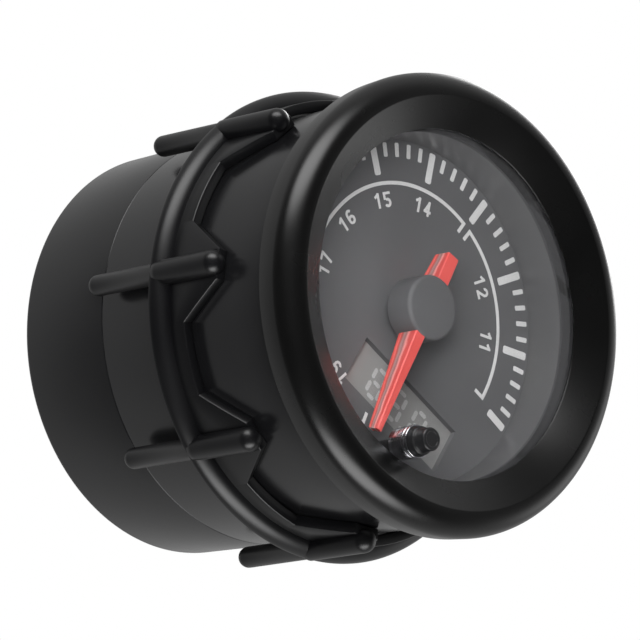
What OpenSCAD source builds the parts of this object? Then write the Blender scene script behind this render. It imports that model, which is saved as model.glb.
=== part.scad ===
// Panel gauge with a stepper-driven pointer, a small digital display and a push button.
// The gauge faces -Y, dial right is +X and dial up is +Z.
// The origin is the centre of the seat behind the bezel. Depths run rearwards from the seat.

/* [Can] */
// Diameter of the can just behind the bezel
can_d = 52.4; // [51.6:0.1:53.2]
// Length of the can behind the seat, rear cap included
can_len = 46.1; // [45:0.1:50]
// How much the can's radius shrinks from the land to its rear
can_taper = 0.95; // [0.3:0.05:1.1]
// Length of the straight land behind the seat
land_len = 6; // [5:0.5:9]
// Step down of the can's front where the bezel grips it
neck_step = 0.6; // [0.45:0.05:0.75]
// Wall of the can around the dial
can_wall = 1.6; // [1.4:0.05:1.8]
// Step inside the can that carries the dial
ledge = 1; // [0.7:0.05:1.3]
// Depth of the seam between the can and the rear cap
seam_depth = 31; // [30.5:0.1:32.5]
// Thickness of the rear cap's end wall
cap_end_t = 2; // [1.5:0.1:3]
// Wall of the cap's sleeve that slips into the can
spigot_t = 1.4; // [1:0.1:1.8]
// Length of that sleeve
spigot_len = 3; // [2:0.1:4]
// Rounding of the can's rear edge
rear_round = 0.8; // [0.4:0.1:1.2]

/* [Bezel] */
// How far the bezel stands out past the can
bezel_overhang = 2.1; // [1.6:0.05:2.6]
// How much the bezel's side narrows towards the seat
bezel_side_taper = 0.2; // [0.05:0.05:0.4]
// Height of the bezel's side band
bezel_band_h = 2.58; // [2.2:0.02:2.8]
// From the bezel's outside in to its crest
crest_inset = 3; // [2.85:0.05:3.4]
// Height of the crest above the seat
crest_h = 5.38; // [5.1:0.02:5.6]
// From the bezel's outside in to the window
bezel_face_w = 6.9; // [6.7:0.05:7.1]
// Height of the window's edge above the seat
opening_h = 3.28; // [3.1:0.02:3.5]
// Thickness of the lip that holds the lens
lip_t = 0.25; // [0.2:0.01:0.4]

/* [Window] */
// Thickness of the lens
lens_t = 1.8; // [1.4:0.1:2]
// Thickness of the gasket behind the lens
gasket_t = 0.4; // [0.3:0.05:0.5]
// How much the funnel narrows towards the dial
funnel_taper = 0.13; // [0.05:0.01:0.3]
// Wall of the funnel ring
funnel_wall = 1.2; // [0.8:0.1:1.6]
// Thickness of the funnel ring's flanges
funnel_flange_t = 0.9; // [0.6:0.1:1.2]

/* [Dial] */
// Depth of the dial behind the seat
dial_depth = 4.54; // [4.3:0.02:4.8]
// Thickness of the dial plate
dial_t = 0.8; // [0.6:0.05:1]
// Hole for the pointer shaft
dial_hole_d = 2.6; // [2.2:0.1:3.2]
// Thickness of the print
print_t = 0.05; // [0.03:0.01:0.08]
// Width of the display window
window_w = 17.9; // [17:0.1:18.4]
// Height of the display window
window_h = 6.45; // [6:0.05:6.8]
// Display window's centre, to the right of the shaft
window_x = 5.85; // [5.4:0.05:6]
// Display window's centre, below the shaft
window_drop = 9.82; // [9.7:0.02:9.9]

/* [Scale] */
// Where the scale starts, clockwise from the top
scale_start_deg = 92.8; // [85:0.1:98]
// Angle that the scale spans
scale_span_deg = 283.2; // [270:0.1:288]
// From the funnel in to the marks' outer ends
mark_inset = 0.37; // [0.27:0.01:0.8]
// Length of the long marks
mark_len = 3.9; // [3:0.1:4.2]
// Length of the two end marks
end_mark_len = 3.2; // [2.6:0.1:4.2]
// Width of the long marks
mark_w = 0.97; // [0.7:0.01:1.2]
// Length of the short marks
minor_len = 1.75; // [1.2:0.05:2.4]
// Width of the short marks
minor_w = 0.6; // [0.4:0.05:0.8]
// From the marks' outer ends in to the zone lines
zone_inset = 4.95; // [4.6:0.05:5.2]
// Width of the zone lines
zone_w = 0.45; // [0.3:0.05:0.6]
// Length of the zone lines' end hooks
zone_hook = 1.5; // [1:0.1:2]
// From the zone lines in to the middle of the numerals
numeral_inset = 2.05; // [1.9:0.05:2.4]
// Height of the numerals
numeral_h = 1.9; // [1.6:0.05:2.1]

/* [Display] */
// Thickness of the display glass
glass_t = 1.1; // [0.8:0.1:1.3]
// How far the glass reaches past the window
glass_margin = 1.15; // [0.8:0.05:1.2]
// Height of the display's digits
digit_h = 4.4; // [3.8:0.1:4.8]
// Width of the display's digits
digit_w = 2.5; // [2.2:0.1:2.8]
// Spacing of the display's digits
digit_pitch = 4; // [3.5:0.1:4.2]
// Width of the digits' segments
segment_w = 0.55; // [0.4:0.05:0.6]

/* [Light] */
// Thickness of the light guide
guide_t = 2; // [1.6:0.1:2.1]
// From the can's bore in to the middle of the lamps
lamp_inset = 9.1; // [7.6:0.1:10]
// Height of a lamp
lamp_h = 0.8; // [0.4:0.1:0.8]
// Length of a lamp
lamp_len = 2; // [1.6:0.1:2.4]
// Width of a lamp
lamp_w = 1.25; // [1:0.05:1.6]

/* [Boards] */
// Depth of the main board's front behind the seat
board_depth = 8.2; // [8.1:0.02:8.4]
// Thickness of the boards
board_t = 1.6; // [1.2:0.1:1.7]
// From the can's bore in to the middle of the board posts
post_inset = 2.6; // [2.4:0.1:3]
// Diameter of the board posts
post_d = 4.4; // [4:0.1:4.8]
// From the control board's front to the cap's sleeve
control_inset = 4; // [3.4:0.1:4.2]
// Diameter of the board screws
screw_d = 2; // [1.6:0.1:2.2]
// Diameter of the board screws' heads
screw_head_d = 3.8; // [3.2:0.1:4]
// Height of the board screws' heads
screw_head_h = 1; // [0.7:0.1:1.2]
// Side of a link header pin
link_pin = 0.64; // [0.5:0.02:0.7]
// Spacing of the link header's pins
link_pitch = 2; // [1.8:0.1:2.1]
// Height of a link header block
link_block_h = 2.5; // [2:0.1:3]
// Diameter of the supply capacitors
capacitor_d = 5; // [4:0.1:5.4]
// Length of the supply capacitors
capacitor_len = 5; // [4:0.1:5.6]
// Side of the large chip
chip_side = 7; // [5:0.1:8]
// Height of the chips
chip_h = 1; // [0.8:0.1:1.6]

/* [Motor] */
// Half the width of the motor case
motor_half_w = 9.5; // [9.3:0.1:9.8]
// How far the motor case reaches below the shaft
motor_drop = 9.5; // [9.2:0.1:10]
// Wall of the motor case
motor_wall = 0.9; // [0.7:0.05:1]
// Depth of the motor case
motor_len = 8.5; // [8.4:0.05:8.8]
// Tooth size of the output wheel, pitch diameter over teeth
coarse_module = 0.25; // [0.24:0.01:0.25]
// Tooth size of the rotor pinion, pitch diameter over teeth
fine_module = 0.2; // [0.19:0.01:0.2]
// Diameter of the pointer shaft
shaft_d = 1.5; // [1.2:0.05:1.6]
// Diameter of the wheel arbors
arbor_d = 1; // [0.8:0.05:1.1]
// Diameter of the rotor magnet
magnet_d = 6; // [5:0.1:6.1]
// Thickness of the stator
stator_t = 0.8; // [0.6:0.05:1]
// Width of the stator's legs
leg_w = 2; // [1.6:0.1:2.2]
// Width of a coil
coil_w = 4.4; // [4:0.1:4.6]
// Depth of a coil
coil_depth = 4.2; // [3.6:0.1:4.4]
// Diameter of the motor pins
motor_pin_d = 0.5; // [0.4:0.05:0.6]

/* [Pointer] */
// Angle of the pointer at rest, counterclockwise from the top
pointer_deg = 185; // [95:1:188]
// Depth of the pointer's top behind the lens
pointer_gap = 0.87; // [0.8:0.01:1]
// From the marks' outer ends in to the pointer's tip
pointer_inset = 2.7; // [2:0.1:4.9]
// From the shaft to the pointer's tail
tail_len = 7.7; // [6.5:0.1:9]
// Width of the pointer at the hub
pointer_w = 1.88; // [1.5:0.02:2.2]
// Width of the pointer at the tip
tip_w = 0.77; // [0.5:0.01:1]
// Depth of the pointer at the hub
pointer_t = 3.2; // [2.8:0.05:3.3]
// Depth of the pointer at the tip
tip_t = 1.74; // [1.2:0.02:2.2]
// Depth of the pointer at the tail
tail_t = 2.5; // [1.8:0.05:2.9]
// Thickness of the foil under the pointer
foil_t = 0.08; // [0.05:0.01:0.1]
// Diameter of the hub cap
hub_d = 8.06; // [7.4:0.02:8.6]
// Depth of the hub cap's top behind the lens
hub_gap = 0.62; // [0.5:0.01:0.7]
// Height of the hub cap
hub_h = 3.9; // [3.6:0.1:4.2]
// Wall of the hub cap
hub_wall = 0.6; // [0.5:0.02:0.7]
// Rounding of the hub cap's rim
hub_round = 0.5; // [0.3:0.05:0.6]

/* [Button] */
// Button's centre, to the right of the shaft
button_x = 4.8; // [4.2:0.05:5.2]
// From the window's lowest point up to the button's centre
button_inset = 3.7; // [3.6:0.02:3.8]
// How far the button stands out of the lens
button_h = 3.35; // [2.8:0.05:3.8]
// Diameter of the button's front
button_tip_d = 2.86; // [2.4:0.02:3.1]
// Length of the button's front
button_tip_len = 1.5; // [1.2:0.1:1.7]
// Diameter of the button's body
button_d = 3.54; // [3.3:0.02:3.6]
// Rounding of the button's front edge
button_round = 0.25; // [0.1:0.05:0.35]
// Travel of the button
button_travel = 0.5; // [0.3:0.05:0.5]
// Height of the collar above the lens
collar_h = 0.9; // [0.6:0.05:1.1]
// Outer diameter of the collar
collar_d = 4.1; // [4.06:0.02:4.2]
// Wall of the collar's tube
collar_wall = 0.14; // [0.12:0.01:0.16]
// Diameter of the button's stem
stem_d = 1.6; // [1.2:0.1:1.8]
// Thickness of the flange that keeps the button in
stem_flange_t = 0.4; // [0.3:0.05:0.4]
// Side of the switch
switch_side = 6; // [5:0.1:6.1]
// Height of the switch
switch_h = 2.3; // [2:0.1:2.4]
// Diameter of the switch's plunger
plunger_d = 3; // [2.4:0.1:3.4]

/* [Connector] */
// Width of the well in the rear cap
well_w = 20; // [18:0.1:21]
// Height of the well
well_h = 11; // [9:0.1:12]
// Depth of the well
well_depth = 9; // [8:0.1:10]
// Wall of the well
well_wall = 1.5; // [1.2:0.1:1.8]
// Width of the connector block
header_w = 15.6; // [15:0.1:16.2]
// Height of the connector block
header_h = 6.8; // [6.4:0.1:7.4]
// Wall of the connector block
header_wall = 0.9; // [0.7:0.05:1]
// Depth of the connector's socket
socket_depth = 8; // [7:0.1:9]
// Side of a connector pin
header_pin = 0.8; // [0.6:0.05:0.9]
// Spacing of the connector's pins
header_pitch = 2.2; // [2:0.05:2.3]

/* [Cap screws] */
// From the can's bore in to the middle of the cap screws
cap_screw_inset = 3.3; // [3.2:0.1:3.5]
// Diameter of the cap screw pillars
pillar_d = 6; // [5.8:0.1:6.2]
// Diameter of the wells for the screw heads
head_well_d = 4.2; // [4.1:0.1:4.5]
// Thickness of the floor under the screw heads
pillar_floor = 3; // [2.4:0.1:3.6]
// Gap between the motor and the bosses in the can
boss_gap = 1.7; // [1:0.1:1.9]

/* [Clamp ring] */
// Wall of the crown sleeve
crown_wall = 1.32; // [1.1:0.02:1.4]
// Depth of the crown's front edge between the rods
valley_depth = 14; // [13:0.1:15]
// Depth of the crown's tips beside the rods
peak_depth = 8; // [7.6:0.1:9]
// Width of the crown's flats between the rods
valley_w = 8.9; // [8:0.1:10]
// Width of the crown's gaps at the tips
gap_w = 17.9; // [17.4:0.1:18.2]
// Depth of the flange's rear face
flange_depth = 18.3; // [18:0.1:20]
// How far the flange stands out from the ring's bore
flange_w = 3.04; // [2.9:0.02:3.4]
// Rounding of the flange's front
flange_round = 2; // [1.8:0.05:2.3]
// Angle of the first rod, counterclockwise from the top
rod_deg = 27.45; // [20:0.05:35]
// Diameter of the rods in front of the flange
rod_d = 3.1; // [2.9:0.02:3.2]
// Diameter of the rods behind the flange
rear_rod_d = 2.64; // [2.4:0.02:2.8]
// Depth of the rods' front tips
rod_front = 6.95; // [6.85:0.05:7.5]
// Depth of the rods' rear tips
rod_rear = 30.3; // [28:0.1:32]

/* [Fits] */
// Gap around parts that are pushed together
close_gap = 0.03; // [0.02:0.01:0.04]
// Gap around parts that turn or slide
running_gap = 0.06; // [0.04:0.01:0.08]
// Gap around parts that are dropped in
loose_gap = 0.2; // [0.15:0.01:0.25]
// Gap around pins and leads
pin_gap = 0.15; // [0.1:0.01:0.2]

/* [Hidden] */

$fn = 96;

// Overrun of cutters past the faces they cut
over = 1;

// Shares and counts that the photo gives or the gauge needs
mark_steps = 50;
marks_per_number = 5;
zone_breaks = [0, 3, 8, 10];
first_number = 10;
wheel_teeth = 60;
pinion_teeth = 10;
gear_ratio = wheel_teeth / pinion_teeth;
rod_count = 8;
cap_screw_count = 3;
post_angles = [0, 180, 255];
lamp_angles = [20, 65, 115, 160, 200, 235];
addendum_share = 0.8;
dedendum_share = 1.2;
root_width_share = 0.4;
tip_width_share = 0.18;
stroke_share = 0.17;
bowl_share = 0.3;
half_share = 0.5;
screw_reach_share = 0.42;

// Can radii and depths
can_r = can_d / 2;
neck_r = can_r - neck_step;
front_bore_r = can_r - can_wall;
bore_r = front_bore_r - ledge;
rear_r = can_r - can_taper;
seam_r = can_r - can_taper * (seam_depth - land_len) / (can_len - land_len);
spigot_front = seam_depth - spigot_len;
end_wall_depth = can_len - cap_end_t;
well_floor_depth = can_len - well_depth;
post_r = bore_r - post_inset;
cap_screw_r = bore_r - cap_screw_inset;

// Bezel section
bezel_r = can_r + bezel_overhang;
bezel_bore_r = neck_r + running_gap;
crest_r = bezel_r - crest_inset;
crest_rise = crest_h - bezel_band_h;
bezel_arc_r = (pow(crest_inset, 2) + pow(crest_rise, 2)) / (2 * crest_inset);
opening_r = bezel_r - bezel_face_w;
lip_back = opening_h - lip_t;

// Depths of the window stack
lens_front = -(lip_back - close_gap);
can_front = lens_front + 4 * close_gap;
lens_back = lens_front + lens_t;
gasket_back = lens_back + gasket_t;
stack_r = front_bore_r - loose_gap;
dial_back = dial_depth + dial_t;

// Radii of the print
mark_r = opening_r - funnel_taper - mark_inset;
zone_r = mark_r - zone_inset;
numeral_r = zone_r - numeral_inset;

// Button depths
button_pos = [button_x, button_inset - opening_r];
button_front = lens_front - button_h;
collar_bore_r = button_d / 2 + running_gap;
collar_tube_r = collar_bore_r + collar_wall;
collar_end = lens_back + gasket_t;
button_end = collar_end - running_gap;
stem_end = dial_back + pin_gap + stem_flange_t;

// Boards
board_back = board_depth + board_t;
control_depth = spigot_front - control_inset;
control_back = control_depth + board_t;
board_r = bore_r - 2 * loose_gap;
lamp_r = bore_r - lamp_inset;
screw_len = screw_reach_share * (control_depth - board_back);
switch_front = board_depth - switch_h;

// Display
window_pos = [window_x, -window_drop];
glass_size = [window_w + 2 * glass_margin, window_h + 2 * glass_margin];
glass_back = dial_back + glass_t;
strip_h = glass_margin + loose_gap;

// Motor layout along the dial's vertical
output_pitch_r = coarse_module * wheel_teeth / 2;
middle_y = coarse_module * (wheel_teeth + pinion_teeth) / 2;
rotor_y = middle_y + fine_module * (wheel_teeth + pinion_teeth) / 2;
motor_front_depth = board_back;
motor_rear_depth = motor_front_depth + motor_len;
motor_split = motor_rear_depth - motor_wall;
motor_inner = motor_front_depth + motor_wall;
boss_front = motor_rear_depth + boss_gap;
output_front = motor_inner + loose_gap;
output_back = output_front + 4 * coarse_module;
fine_front = output_back + 3 * fine_module;
fine_back = fine_front + 4 * fine_module;
magnet_front = fine_back + loose_gap + print_t;
magnet_back = motor_split - stator_t;
stator_front = magnet_front + stator_t;
rotor_space_r = magnet_d / 2 + loose_gap + pin_gap;
pole_ring_r = rotor_space_r + stator_t + loose_gap;
motor_dome_r = pole_ring_r + motor_wall + loose_gap;
leg_x = motor_half_w - motor_wall - loose_gap - coil_w / 2;
pivot_depth = motor_wall / 2;

// Pointer depths and length
pointer_len = mark_r - pointer_inset;
pointer_top = lens_back + pointer_gap;
hub_top = lens_back + hub_gap;
hub_r = hub_d / 2;
hub_back = hub_top + hub_h;
boss_top = hub_top + hub_wall + 2 * close_gap;
boss_r = hub_r - hub_wall - loose_gap;

// Clamp ring
ring_bore_r = can_r + running_gap;
crown_r = ring_bore_r + crown_wall;
flange_r = ring_bore_r + flange_w;
rod_pitch_r = ring_bore_r + 1.1 * rod_d / 2;
front_rod_r = rod_d / 2;
rear_rod_r = rear_rod_d / 2;

// Colours
black_plastic = "#2b2b2d";
gloss_black = "#18181a";
clear_glass = [0.8, 0.85, 0.88, 0.3];
dial_grey = "#3c3c3e";
print_white = "#e8e8e8";
red_plastic = "#f0403c";
chrome = "#c8c8cc";
board_green = "#1f5a3a";
brass = "#c9a24b";
steel = "#9a9ca0";
copper = "#b4632c";
white_plastic = "#e6e6e2";

// Helpers

module facing() {
    rotate([90, 0, 0]) children();
}

module slab(from, to) {
    translate([0, 0, -to]) linear_extrude(to - from) children();
}

module disc(from, to, r) {
    slab(from, to) circle(r);
}

module tube(from, to, r, bore) {
    slab(from, to) difference() {
        circle(r);
        circle(bore);
    }
}

module block(from, to, size, middle) {
    slab(from, to) translate(middle) square(size, center = true);
}

module at_angle(degrees, r) {
    rotate(degrees) translate([r, 0, 0]) children();
}

module bar(p, q, width) {
    run = q - p;
    translate(p) rotate(atan2(run[1], run[0])) translate([0, -width / 2]) square([norm(run), width]);
}

module sector(r, from, to) {
    steps = ceil((to - from) / 30);
    polygon(concat([[0, 0]], [for (i = [0 : steps])
        let (angle = from + (to - from) * i / steps) 1.1 * r * [cos(angle), sin(angle)]]));
}

module arc_band(r, width, from, to) {
    intersection() {
        difference() {
            circle(r + width / 2);
            circle(r - width / 2);
        }
        sector(r + width, from, to);
    }
}

// The front of a disc with its edge rounded
module rounded_top(from, to, r, round_r) {
    disc(from, to, r - round_r);
    rotate_extrude() intersection() {
        translate([r - round_r, -(from + round_r)]) circle(round_r, $fn = 32);
        translate([0, -(from + round_r)]) square([2 * r, 2 * r]);
    }
}

// The rounded edge behind a disc, with the disc's face
module rounded_back(to, r, round_r) {
    rotate_extrude() intersection() {
        translate([r - round_r, -(to - round_r)]) circle(round_r, $fn = 48);
        translate([0, -(to + over)]) square([2 * r, round_r + over]);
    }
}

// Capsule along the depth, from one depth to another
module capsule(from, to, r) {
    rotate_extrude() intersection() {
        union() {
            translate([0, -from - r]) circle(r);
            translate([0, -to + r]) circle(r);
            translate([0, -to + r]) square([r, to - from - 2 * r]);
        }
        translate([0, -to - over]) square([r + over, to - from + 2 * over]);
    }
}

module toothed(module_size, teeth) {
    pitch_r = module_size * teeth / 2;
    tip_r = pitch_r + addendum_share * module_size;
    root_r = pitch_r - dedendum_share * module_size;
    root_w = root_width_share * PI * module_size;
    tip_width = tip_width_share * PI * module_size;
    circle(root_r);
    for (i = [0 : teeth - 1])
        rotate(i * 360 / teeth) polygon([
            [root_r - module_size, -root_w / 2],
            [root_r, -root_w / 2],
            [tip_r, -tip_width / 2],
            [tip_r, tip_width / 2],
            [root_r, root_w / 2],
            [root_r - module_size, root_w / 2]]);
}

// Housing

module can_housing() {
    color(black_plastic) facing() {
        rotate_extrude() polygon([
            [front_bore_r, -can_front],
            [neck_r, -can_front],
            [neck_r, 0],
            [can_r, 0],
            [can_r, -land_len],
            [seam_r, -seam_depth],
            [bore_r, -seam_depth],
            [bore_r, -dial_back],
            [front_bore_r, -dial_back]]);
        for (angle = post_angles) rotate(angle) board_post();
        for (i = [0 : cap_screw_count - 1]) rotate(90 + i * 360 / cap_screw_count) cap_boss();
    }
}

module board_post() {
    difference() {
        union() {
            translate([post_r, 0, 0]) disc(board_back, control_depth, post_d / 2);
            block(board_back, control_depth, [bore_r - post_r + ledge, post_d / 2],
                [(bore_r + post_r + ledge / 2) / 2, 0]);
        }
        translate([post_r, 0, 0]) screw_bore(board_back - over, board_back + screw_len + over);
        translate([post_r, 0, 0]) screw_bore(control_depth - screw_len - over, control_depth + over);
    }
}

module screw_bore(from, to) {
    disc(from, to, screw_d / 2 + close_gap);
}

module cap_boss() {
    difference() {
        union() {
            translate([cap_screw_r, 0, 0]) disc(boss_front, spigot_front, pillar_d / 2);
            block(boss_front, spigot_front, [pillar_d / 2, pillar_d / 2],
                [cap_screw_r + pillar_d / 3, 0]);
        }
        translate([cap_screw_r, 0, 0]) screw_bore(boss_front + over, spigot_front + over);
    }
}

module rear_cap() {
    color(black_plastic) facing() {
        difference() {
            union() {
                rotate_extrude() cap_section();
                rounded_back(can_len, rear_r, rear_round);
                for (i = [0 : cap_screw_count - 1])
                    at_angle(90 + i * 360 / cap_screw_count, cap_screw_r)
                        disc(spigot_front + running_gap, end_wall_depth + over, pillar_d / 2);
                block(well_floor_depth - well_wall, end_wall_depth + over,
                    [well_w + 2 * well_wall, well_h + 2 * well_wall], [0, 0]);
            }
            for (i = [0 : cap_screw_count - 1])
                at_angle(90 + i * 360 / cap_screw_count, cap_screw_r) {
                    disc(spigot_front - over, can_len + over, screw_d / 2 + pin_gap);
                    disc(spigot_front + pillar_floor, can_len + over, head_well_d / 2);
                }
            block(well_floor_depth, can_len + over, [well_w, well_h], [0, 0]);
            block(well_floor_depth - 2 * well_wall, can_len + over,
                [header_w + 2 * pin_gap, header_h + 2 * pin_gap], [0, 0]);
        }
    }
}

module cap_section() {
    spigot_r = bore_r - running_gap;
    inner_r = spigot_r - spigot_t;
    wall_r = bore_r - loose_gap;
    polygon([
        [inner_r, -spigot_front],
        [spigot_r, -spigot_front],
        [spigot_r, -seam_depth],
        [seam_r, -seam_depth],
        [rear_r, -(can_len - rear_round)],
        [rear_r - rear_round, -(can_len - rear_round)],
        [rear_r - rear_round, -can_len],
        [0, -can_len],
        [0, -end_wall_depth],
        [wall_r, -end_wall_depth],
        [wall_r, -(seam_depth + spigot_t)],
        [inner_r, -(seam_depth + spigot_t)]]);
}

module cap_screws() {
    seat = spigot_front + pillar_floor;
    color(steel) facing()
        for (i = [0 : cap_screw_count - 1])
            at_angle(90 + i * 360 / cap_screw_count, cap_screw_r)
                rear_screw(seat, seat - boss_front - 2 * over);
}

module cross_slot(from, to) {
    slab(from, to) {
        square([screw_head_d / 2, screw_head_d / 8], center = true);
        square([screw_head_d / 8, screw_head_d / 2], center = true);
    }
}

module rear_screw(seat, length) {
    difference() {
        union() {
            disc(seat, seat + screw_head_h, screw_head_d / 2);
            disc(seat - length, seat + screw_head_h / 2, screw_d / 2);
        }
        cross_slot(seat + screw_head_h / 2, seat + screw_head_h + over);
    }
}

module front_screw(seat, length) {
    difference() {
        union() {
            disc(seat - screw_head_h, seat, screw_head_d / 2);
            disc(seat - screw_head_h / 2, seat + length, screw_d / 2);
        }
        cross_slot(seat - screw_head_h - over, seat - screw_head_h / 2);
    }
}

module bezel_ring() {
    color(gloss_black) facing() rotate_extrude() {
        polygon([
            [bezel_bore_r + neck_step, 0],
            [bezel_r - bezel_side_taper, 0],
            [bezel_r, bezel_band_h],
            [crest_r, crest_h],
            [opening_r, opening_h],
            [opening_r, lip_back],
            [bezel_bore_r, lip_back],
            [bezel_bore_r, neck_step]]);
        intersection() {
            translate([bezel_r - bezel_arc_r, bezel_band_h]) circle(bezel_arc_r);
            polygon([
                [bezel_r, bezel_band_h],
                [bezel_r + over, bezel_band_h],
                [bezel_r + over, crest_h + over],
                [crest_r, crest_h + over],
                [crest_r, crest_h],
                [bezel_bore_r, (lip_back + crest_h) / 2]]);
        }
    }
}

// Window and dial

module lens() {
    color(clear_glass) facing() difference() {
        disc(lens_front, lens_back, stack_r);
        translate(button_pos) disc(lens_front - over, lens_back + over, collar_tube_r + close_gap);
    }
}

module lens_gasket() {
    color(gloss_black) facing() tube(lens_back, gasket_back, stack_r, opening_r);
}

module funnel_ring() {
    inner_back = opening_r - funnel_taper;
    wall_r = opening_r + funnel_wall;
    color(black_plastic) facing() rotate_extrude() polygon([
        [opening_r, -gasket_back],
        [stack_r, -gasket_back],
        [stack_r, -(gasket_back + funnel_flange_t)],
        [wall_r, -(gasket_back + funnel_flange_t)],
        [wall_r, -(dial_depth - funnel_flange_t)],
        [stack_r, -(dial_depth - funnel_flange_t)],
        [stack_r, -dial_depth],
        [inner_back, -dial_depth]]);
}

module dial_plate() {
    color(dial_grey) facing() difference() {
        disc(dial_depth, dial_back, stack_r);
        disc(dial_depth - over, dial_back + over, dial_hole_d / 2);
        block(dial_depth - over, dial_back + over, [window_w, window_h], window_pos);
        translate(button_pos) disc(dial_depth - over, dial_back + over, stem_d / 2 + loose_gap);
    }
}

function scale_angle(step) = 90 - scale_start_deg + scale_span_deg * step / mark_steps;

module printed() {
    slab(dial_depth - print_t, dial_depth) children();
}

module rounded_mark(outer, length, width) {
    translate([outer - length + width / 4, -width / 2]) square([length - width / 2, width]);
    translate([outer - length, -width / 4]) square([length, width / 2]);
    for (x = [outer - length + width / 4, outer - width / 4])
        for (y = [-width / 4, width / 4]) translate([x, y]) circle(width / 4, $fn = 24);
}

module scale_marks() {
    color(print_white) facing() printed()
        for (i = [0 : mark_steps])
            rotate(scale_angle(i))
                if (i == 0 || i == mark_steps) rounded_mark(mark_r, end_mark_len, mark_w);
                else if (i % marks_per_number == 0) rounded_mark(mark_r, mark_len, mark_w);
                else rounded_mark(mark_r, minor_len, minor_w);
}

module zone_lines() {
    color(print_white) facing() printed()
        for (i = [0 : len(zone_breaks) - 2]) {
            inset = asin(zone_w / zone_r);
            from = scale_angle(zone_breaks[i] * marks_per_number) + inset;
            to = scale_angle(zone_breaks[i + 1] * marks_per_number) - inset;
            arc_band(zone_r, zone_w, from, to);
            rotate(from) bar([zone_r - zone_hook, zone_w / 2], [zone_r, zone_w / 2], zone_w);
            rotate(to) bar([zone_r - zone_hook, -zone_w / 2], [zone_r, -zone_w / 2], zone_w);
        }
}

// Numbers stand at the long marks between the zone lines' hooks
module numerals() {
    color(print_white) facing() printed()
        for (zone = [0 : len(zone_breaks) - 2])
            for (i = [zone_breaks[zone] + 1 : zone_breaks[zone + 1] - 1])
                rotate(scale_angle(i * marks_per_number)) translate([numeral_r, 0]) rotate(-90)
                    number(first_number + i, numeral_h);
}

module number(value, height) {
    advance = 0.78 * height;
    translate([-advance / 2, -height / 2]) numeral(floor(value / 10), height);
    translate([advance / 2, -height / 2]) numeral(value % 10, height);
}

module bowl(height, level, from, to) {
    translate([0, level * height])
        arc_band((bowl_share - stroke_share / 2) * height, stroke_share * height, from, to);
}

module stroke(height, p, q) {
    bar(p * height, q * height, stroke_share * height);
}

// One printed numeral, drawn about the middle of its base
module numeral(digit, height) {
    low = bowl_share;
    high = 1 - bowl_share;
    edge = bowl_share - stroke_share / 2;
    top = 1 - stroke_share / 2;
    foot = stroke_share / 2;
    if (digit == 0) {
        bowl(height, high, 0, 180);
        bowl(height, low, 180, 360);
        stroke(height, [-edge, low], [-edge, high]);
        stroke(height, [edge, low], [edge, high]);
    }
    if (digit == 1) {
        stroke(height, [0, 0], [0, 1]);
        stroke(height, [-low, high], [0, top]);
    }
    if (digit == 2) {
        bowl(height, high, -20, 180);
        stroke(height, [edge, high - foot], [-edge, foot]);
        stroke(height, [-low, foot], [low, foot]);
    }
    if (digit == 3) {
        bowl(height, 1 - low + foot / 4, -90, 150);
        bowl(height, low, -150, 90);
    }
    if (digit == 4) {
        stroke(height, [foot, 0], [foot, 1]);
        stroke(height, [-low, low], [low, low]);
        stroke(height, [-edge, low], [foot, top]);
    }
    if (digit == 5) {
        bowl(height, low, -150, 120);
        stroke(height, [-edge, half_share], [-edge, top]);
        stroke(height, [-low, top], [low, top]);
    }
    if (digit == 6) hooked_bowl(height);
    if (digit == 7) {
        stroke(height, [-low, top], [low, top]);
        stroke(height, [edge, top], [-foot, 0]);
    }
    if (digit == 8) {
        bowl(height, low, 0, 360);
        bowl(height, high, 0, 360);
    }
    if (digit == 9) translate([0, height]) rotate(180) hooked_bowl(height);
}

module hooked_bowl(height) {
    edge = bowl_share - stroke_share / 2;
    bowl(height, bowl_share, 0, 360);
    stroke(height, [-edge, bowl_share], [-edge, 1 - bowl_share]);
    bowl(height, 1 - bowl_share, 30, 180);
}

// Display

module display_glass() {
    color("#8a8c88") facing() block(dial_back, glass_back, glass_size, window_pos);
}

module display_segments() {
    color("#b4b6b0") facing() slab(dial_back - print_t, dial_back)
        translate(window_pos)
            for (i = [-1 : 1]) translate([i * digit_pitch, 0]) {
                seven_segments();
                translate([digit_pitch / 2, -digit_h / 2 + segment_w / 2])
                    circle(segment_w / 2, $fn = 24);
            }
}

module segment(length) {
    square([length - segment_w, segment_w], center = true);
    for (side = [-1, 1]) translate([side * (length - segment_w) / 2, 0])
        circle(segment_w / 2, $fn = 24);
}

module seven_segments() {
    upright = digit_h / 2 - segment_w - loose_gap;
    across = digit_w - 2 * segment_w - loose_gap;
    for (level = [-1, 0, 1]) translate([0, level * (digit_h - segment_w) / 2]) segment(across);
    for (x = [-1, 1]) for (y = [-1, 1])
        translate([x * (digit_w - segment_w) / 2, y * (digit_h - segment_w) / 4])
            rotate(90) segment(upright);
}

module display_backlight() {
    size = [glass_size[0], glass_size[1] - strip_h - loose_gap];
    color(white_plastic) facing() block(glass_back, board_depth, size,
        window_pos + [0, (strip_h + loose_gap) / 2]);
}

module display_strip() {
    color("#505058") facing() block(glass_back, board_depth, [glass_size[0] - strip_h, strip_h],
        window_pos - [0, (glass_size[1] - strip_h) / 2]);
}

module light_guide() {
    color([0.92, 0.95, 0.97, 0.7]) facing() difference() {
        disc(dial_back, dial_back + guide_t, board_r);
        disc(dial_back - over, board_depth, dial_hole_d / 2 + loose_gap);
        block(dial_back - over, board_depth, glass_size + 2 * [loose_gap, loose_gap], window_pos);
        block(dial_back - over, board_depth, (switch_side + 2 * loose_gap) * [1, 1], button_pos);
        for (angle = post_angles) at_angle(angle, post_r)
            disc(dial_back - over, board_depth, screw_head_d / 2 + loose_gap);
    }
}

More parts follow.
